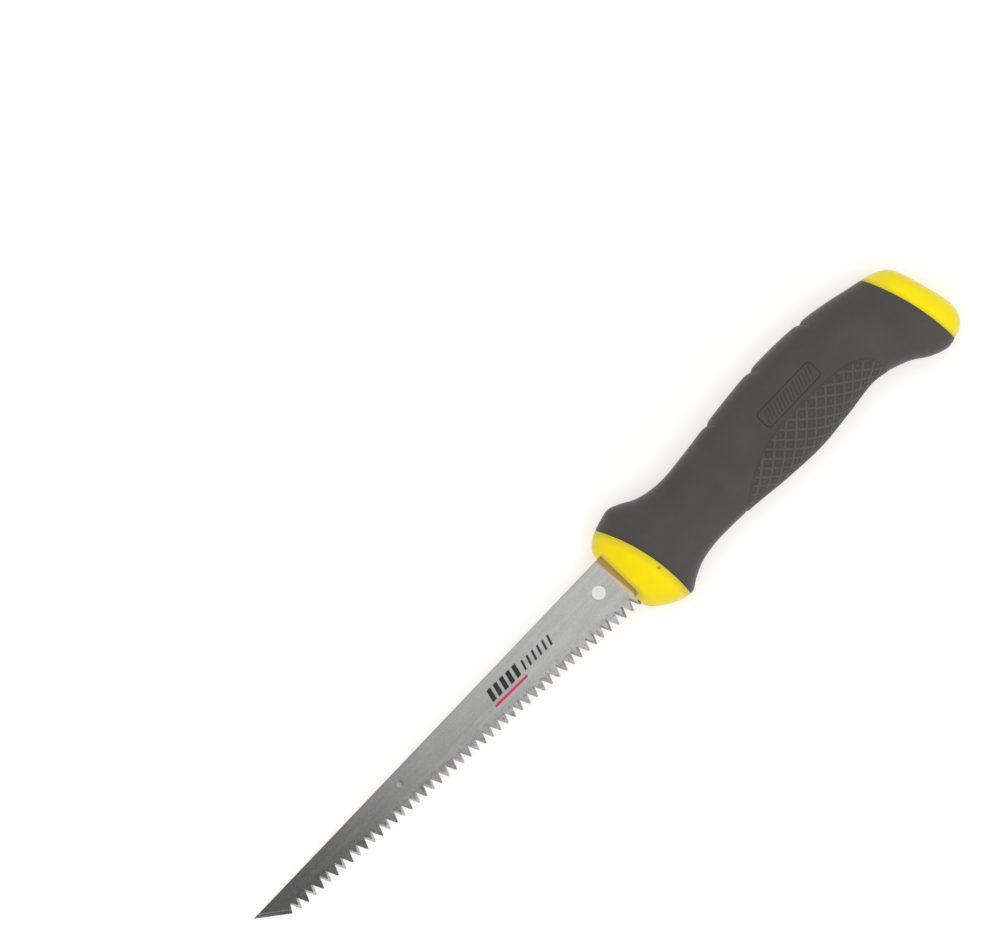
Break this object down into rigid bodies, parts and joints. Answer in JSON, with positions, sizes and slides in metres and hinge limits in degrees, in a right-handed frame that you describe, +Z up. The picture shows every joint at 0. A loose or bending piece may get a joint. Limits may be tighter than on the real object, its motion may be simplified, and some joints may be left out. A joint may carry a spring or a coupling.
{
  "type": "drywall saw",
  "caption": "Drywall (jab) saw with a fixed, tapered, toothed plunge blade and a bent two-colour handle with a black rubber grip over a yellow core.",
  "frame": {"origin": "on the surface that the saw lies on, under the middle of its bounding box", "axes": "+X from the blade's tip to the butt of the handle, +Y towards the blade's spine (the teeth point to -Y), +Z up, square to the blade's flat side"},
  "size_m": [0.2976, 0.043, 0.0286],
  "materials": {
    "blade_steel": "rolled steel, satin, with finely ground tooth flanks and plunge edge",
    "pin_steel": "plain drawn steel pin",
    "yellow_plastic": "moulded plastic, half gloss",
    "cap_plastic": "moulded plastic, half gloss",
    "black_rubber": "soft thermoplastic rubber, matt, with a raised diamond pattern on the palm pad"
  },
  "bodies": {
    "root": {"blade": "blade_steel", "handle_core": "yellow_plastic", "tang_pin_1": "pin_steel", "tang_pin_2": "pin_steel", "grip": "black_rubber", "end_cap": "cap_plastic"}
  },
  "joints": []
}
